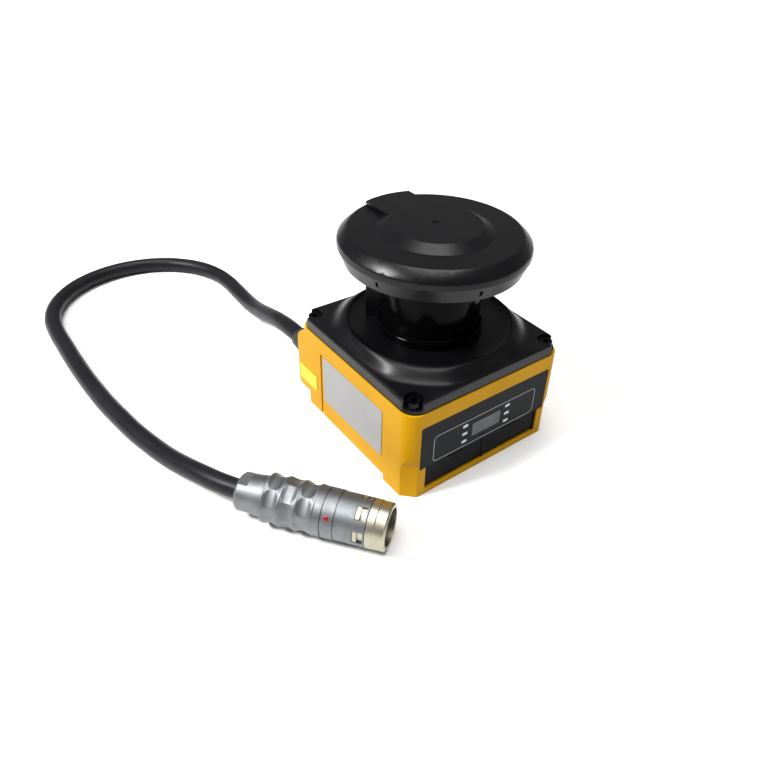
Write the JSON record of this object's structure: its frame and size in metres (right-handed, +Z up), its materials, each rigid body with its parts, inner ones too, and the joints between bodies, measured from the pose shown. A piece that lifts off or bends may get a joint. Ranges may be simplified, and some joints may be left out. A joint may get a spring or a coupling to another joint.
{
  "type": "lidar scanner module",
  "caption": "Compact scanning laser rangefinder with a painted housing, status panel, tall round optical window under a wide cap, and a short cable with a push-pull plug.",
  "frame": {"origin": "on the underside, at the centre of the four threaded base holes, under the scan axis", "axes": "+Z up along the scan axis, status panel facing -Y, cable leaving toward +Y"},
  "size_m": [0.1613, 0.2614, 0.095],
  "materials": {
    "yellow_paint": "satin powder coat on die-cast aluminium",
    "black_cover_plastic": "fine-textured satin black moulding",
    "slate_moulding": "fine-textured dark grey moulding",
    "overlay_film": "satin printed film",
    "display_glass": "flat clear window",
    "display_cell": "display cell in a plastic frame",
    "white_light_pipe": "milky moulding",
    "led_package": "small moulded package",
    "circuit_board": "green solder mask",
    "white_header": "natural nylon",
    "port_steel": "plated sheet",
    "flap_rubber": "satin black moulding",
    "silver_label": "satin silver film",
    "yellow_label": "gloss film",
    "smoked_window": "polished infrared-clear moulding",
    "black_seal_rubber": "moulded rubber",
    "plated_screw_steel": "zinc plated",
    "black_screw_steel": "black oxide",
    "cast_base_aluminium": "tumbled and clear anodised",
    "turned_aluminium": "turned",
    "bearing_steel": "ground",
    "stator_steel": "stacked laminations, coated",
    "copper_winding": "enamelled copper wire",
    "magnet_ring": "plated sintered magnet",
    "encoder_steel": "etched sheet",
    "black_moulding": "moulded",
    "black_anodised": "black anodised",
    "mirror_coating": "coated front surface",
    "lens_glass": "polished",
    "laser_brass": "turned",
    "standoff_brass": "turned hexagon",
    "flex_film": "polyimide film",
    "gland_nylon": "moulded nylon",
    "boot_rubber": "moulded rubber",
    "cable_jacket": "extruded jacket",
    "nickel_plating": "satin nickel on brass",
    "nose_plating": "satin nickel on brass",
    "contact_insert": "moulded insert with gilt pins"
  },
  "bodies": {
    "base": {"housing": "yellow_paint", "base_plate": "cast_base_aluminium", "base_plate_screws": "plated_screw_steel", "base_seal": "black_seal_rubber", "cable_block_cover": "yellow_paint", "cable_block_screws": "plated_screw_steel", "top_cover": "black_cover_plastic", "cover_seal": "black_seal_rubber", "cover_screws": "black_screw_steel", "front_bezel": "slate_moulding", "panel_overlay": "overlay_film", "display_window": "display_glass", "display_module": "display_cell", "indicator_light_pipes": "white_light_pipe", "status_leds": "led_package", "front_board": "circuit_board", "front_board_screws": "plated_screw_steel", "config_port": "port_steel", "service_port": "white_header", "port_hinge_pins": "plated_screw_steel", "rating_plate": "silver_label", "notice_plate": "yellow_label", "optical_window": "smoked_window", "window_seals": "black_seal_rubber", "window_spine": "black_cover_plastic", "spine_screws": "plated_screw_steel", "head_shell": "black_cover_plastic", "head_cap": "black_cover_plastic", "cap_screws": "black_screw_steel", "motor_plate": "turned_aluminium", "motor_plate_screws": "plated_screw_steel", "stator_core": "stator_steel", "stator_coils": "copper_winding", "spindle_bearings": "bearing_steel", "encoder_sensor": "black_moulding", "motor_board": "circuit_board", "head_flex": "flex_film", "lens_barrel": "black_anodised", "receiving_lens": "lens_glass", "laser_module": "laser_brass", "receiver_board": "circuit_board", "main_board": "circuit_board", "board_standoffs": "standoff_brass", "board_screws": "plated_screw_steel", "cable_gland": "gland_nylon", "strain_relief": "boot_rubber", "inner_lead": "cable_jacket", "cable": "cable_jacket", "plug_body": "nose_plating", "plug_nut": "nickel_plating", "plug_contacts": "contact_insert"},
    "rotor": {"rotor_cup": "turned_aluminium", "rotor_magnets": "magnet_ring", "rotor_shaft": "bearing_steel", "mirror_carrier": "black_moulding", "scan_mirror": "mirror_coating", "encoder_disc": "encoder_steel"},
    "left_port_cover": {"port_cover_left": "flap_rubber"},
    "right_port_cover": {"port_cover_right": "flap_rubber"},
    "release_sleeve": {"plug_sleeve": "nickel_plating"}
  },
  "joints": [
    {"name": "rotor_spin", "type": "hinge", "parent": "base", "child": "rotor", "pos_m": [0, 0, 0.07], "axis": [0, 0, 1], "continuous": true},
    {"name": "left_port_cover_hinge", "type": "hinge", "parent": "base", "child": "left_port_cover", "pos_m": [-0.0153, -0.0382, 0.0043], "axis": [1, 0, 0], "range_deg": [0, 90]},
    {"name": "right_port_cover_hinge", "type": "hinge", "parent": "base", "child": "right_port_cover", "pos_m": [0.0153, -0.0382, 0.0043], "axis": [1, 0, 0], "range_deg": [0, 90]},
    {"name": "release_sleeve_slide", "type": "slide", "parent": "base", "child": "release_sleeve", "axis": [-0.5962, 0.8028, 0], "range_m": [0, 0.002], "stiffness_N_per_m": 1500}
  ]
}
